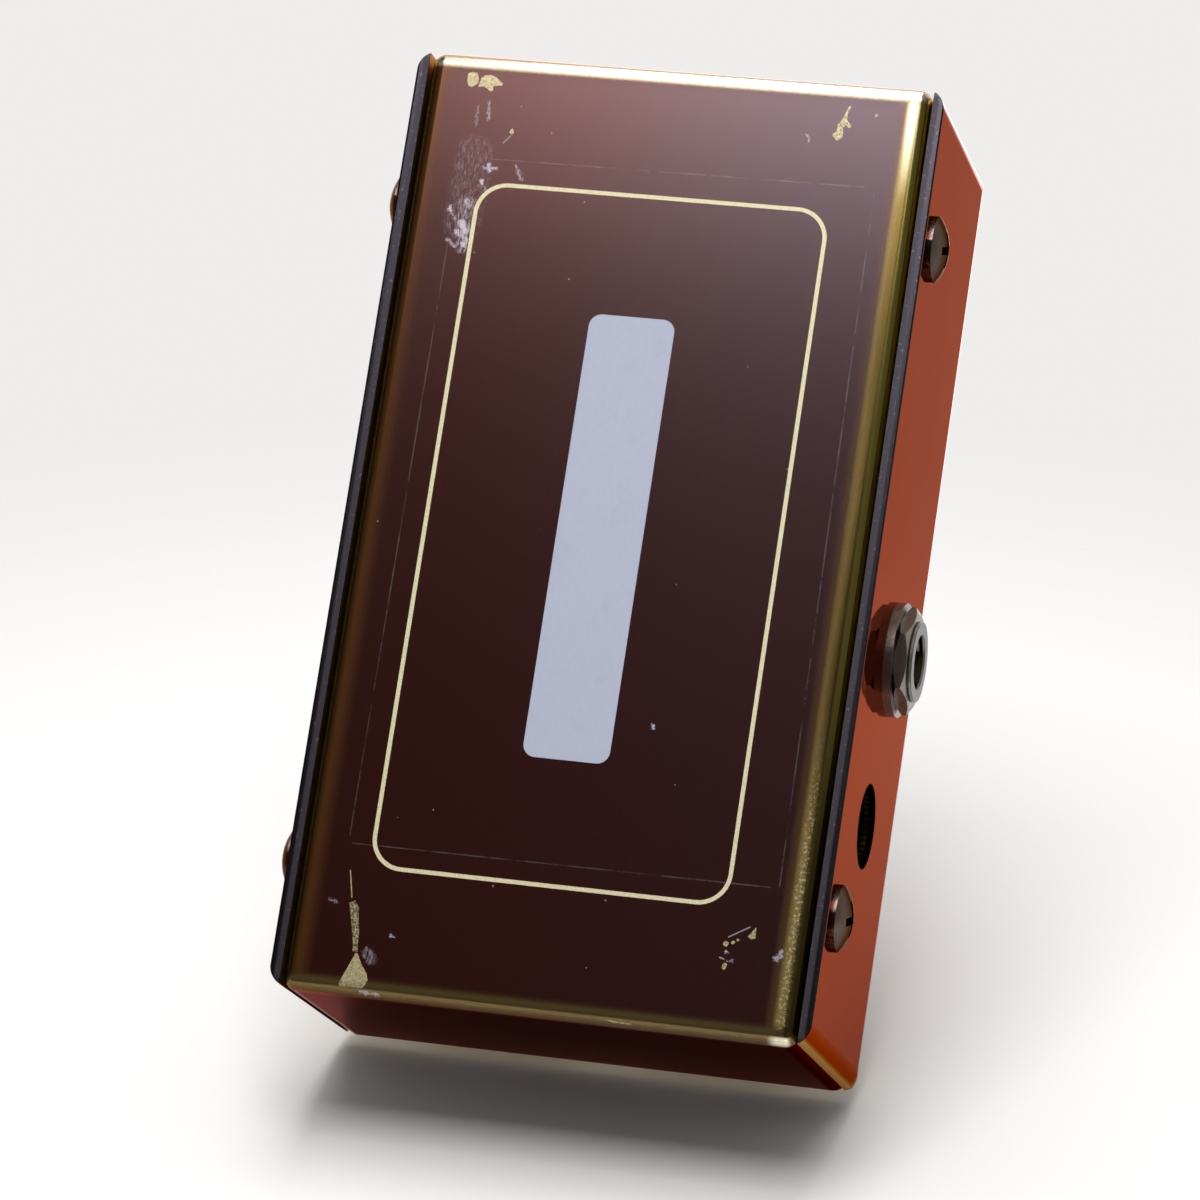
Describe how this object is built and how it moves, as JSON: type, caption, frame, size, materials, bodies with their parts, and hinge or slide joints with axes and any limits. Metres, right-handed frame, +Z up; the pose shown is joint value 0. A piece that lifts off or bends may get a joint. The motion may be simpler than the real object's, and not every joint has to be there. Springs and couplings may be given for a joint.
{
  "type": "direct injection box",
  "caption": "Compact folded sheet-metal direct injection box with a jack input, balanced output, power socket, rotary knobs, an indicator and a footswitch.",
  "frame": {"origin": "middle of the bottom plate's outer face", "axes": "+X across the case towards the input jack's wall, +Y along the case towards the rear end with the knobs, +Z up from the bottom plate to the control panel"},
  "size_m": [0.0689, 0.114, 0.0468],
  "materials": {
    "tray_lacquer": "dark maroon-brown lacquer over brass-coloured metal, worn to gold on the bends",
    "cover_lacquer": "glossy bronze-brown lacquer with bare grey cut edges",
    "black_steel": "dark nickel screws",
    "nickel": "polished nickel",
    "black_plastic": "matt black",
    "grey_plastic": "matt dark grey",
    "contact_metal": "bright plated spring metal",
    "board_laminate": "green solder mask",
    "core_steel": "varnished laminations",
    "winding_tape": "amber tape",
    "capacitor_sleeve": "shrunk sleeve",
    "chip_resin": "moulded resin",
    "resistor_coat": "coated",
    "red_insulation": "insulated lead",
    "pale_insulation": "insulated lead",
    "can_metal": "plated",
    "knob_plastic": "satin black",
    "inlay_paint": "pale gold fill",
    "switch_plastic": "moulded blue",
    "ribbon_insulation": "grey ribbon",
    "lens": "tinted diffused lens"
  },
  "bodies": {
    "enclosure": {"base_tray": "tray_lacquer", "top_cover": "cover_lacquer", "cover_screws": "black_steel", "input_jack_bushing": "nickel", "input_jack_housing": "black_plastic", "input_jack_contacts": "contact_metal", "input_jack_washer": "nickel", "input_jack_nut": "nickel", "power_jack_housing": "black_plastic", "power_jack_pin": "contact_metal", "power_jack_contact": "contact_metal", "xlr_housing": "black_plastic", "xlr_pins": "contact_metal", "xlr_screws": "black_steel", "ground_switch_body": "black_plastic", "circuit_board": "board_laminate", "transformer_core": "core_steel", "transformer_winding": "winding_tape", "capacitors": "capacitor_sleeve", "amplifier_chips": "chip_resin", "resistors": "resistor_coat", "input_leads": "red_insulation", "output_leads": "pale_insulation", "level_pot": "can_metal", "tone_pot": "can_metal", "pot_washers": "nickel", "pot_nuts": "nickel", "footswitch_body": "switch_plastic", "footswitch_washer": "nickel", "footswitch_nut": "nickel", "footswitch_terminals": "contact_metal", "footswitch_board": "board_laminate", "ribbon_cable": "ribbon_insulation", "ribbon_headers": "pale_insulation", "lamp_bezel": "nickel", "lamp_lens": "lens"},
    "level_knob": {"level_shaft": "can_metal", "level_knob": "knob_plastic", "level_inlay": "inlay_paint"},
    "tone_knob": {"tone_shaft": "can_metal", "tone_knob": "knob_plastic", "tone_inlay": "inlay_paint"},
    "footswitch_plunger": {"footswitch_plunger": "nickel"},
    "ground_slider": {"ground_switch_slider": "grey_plastic"}
  },
  "joints": [
    {"name": "level_knob_turn", "type": "hinge", "parent": "enclosure", "child": "level_knob", "pos_m": [0.014, 0.038, 0.0342], "axis": [0, 0, 1], "range_deg": [-150, 150]},
    {"name": "tone_knob_turn", "type": "hinge", "parent": "enclosure", "child": "tone_knob", "pos_m": [-0.014, 0.038, 0.0342], "axis": [0, 0, 1], "range_deg": [-150, 150]},
    {"name": "footswitch_press", "type": "slide", "parent": "enclosure", "child": "footswitch_plunger", "axis": [0, 0, -1], "range_m": [0, 0.0024], "stiffness_N_per_m": 4000, "springref_m": -0.002},
    {"name": "ground_lift_slide", "type": "slide", "parent": "enclosure", "child": "ground_slider", "axis": [0, 1, 0], "range_m": [0, 0.004]}
  ]
}
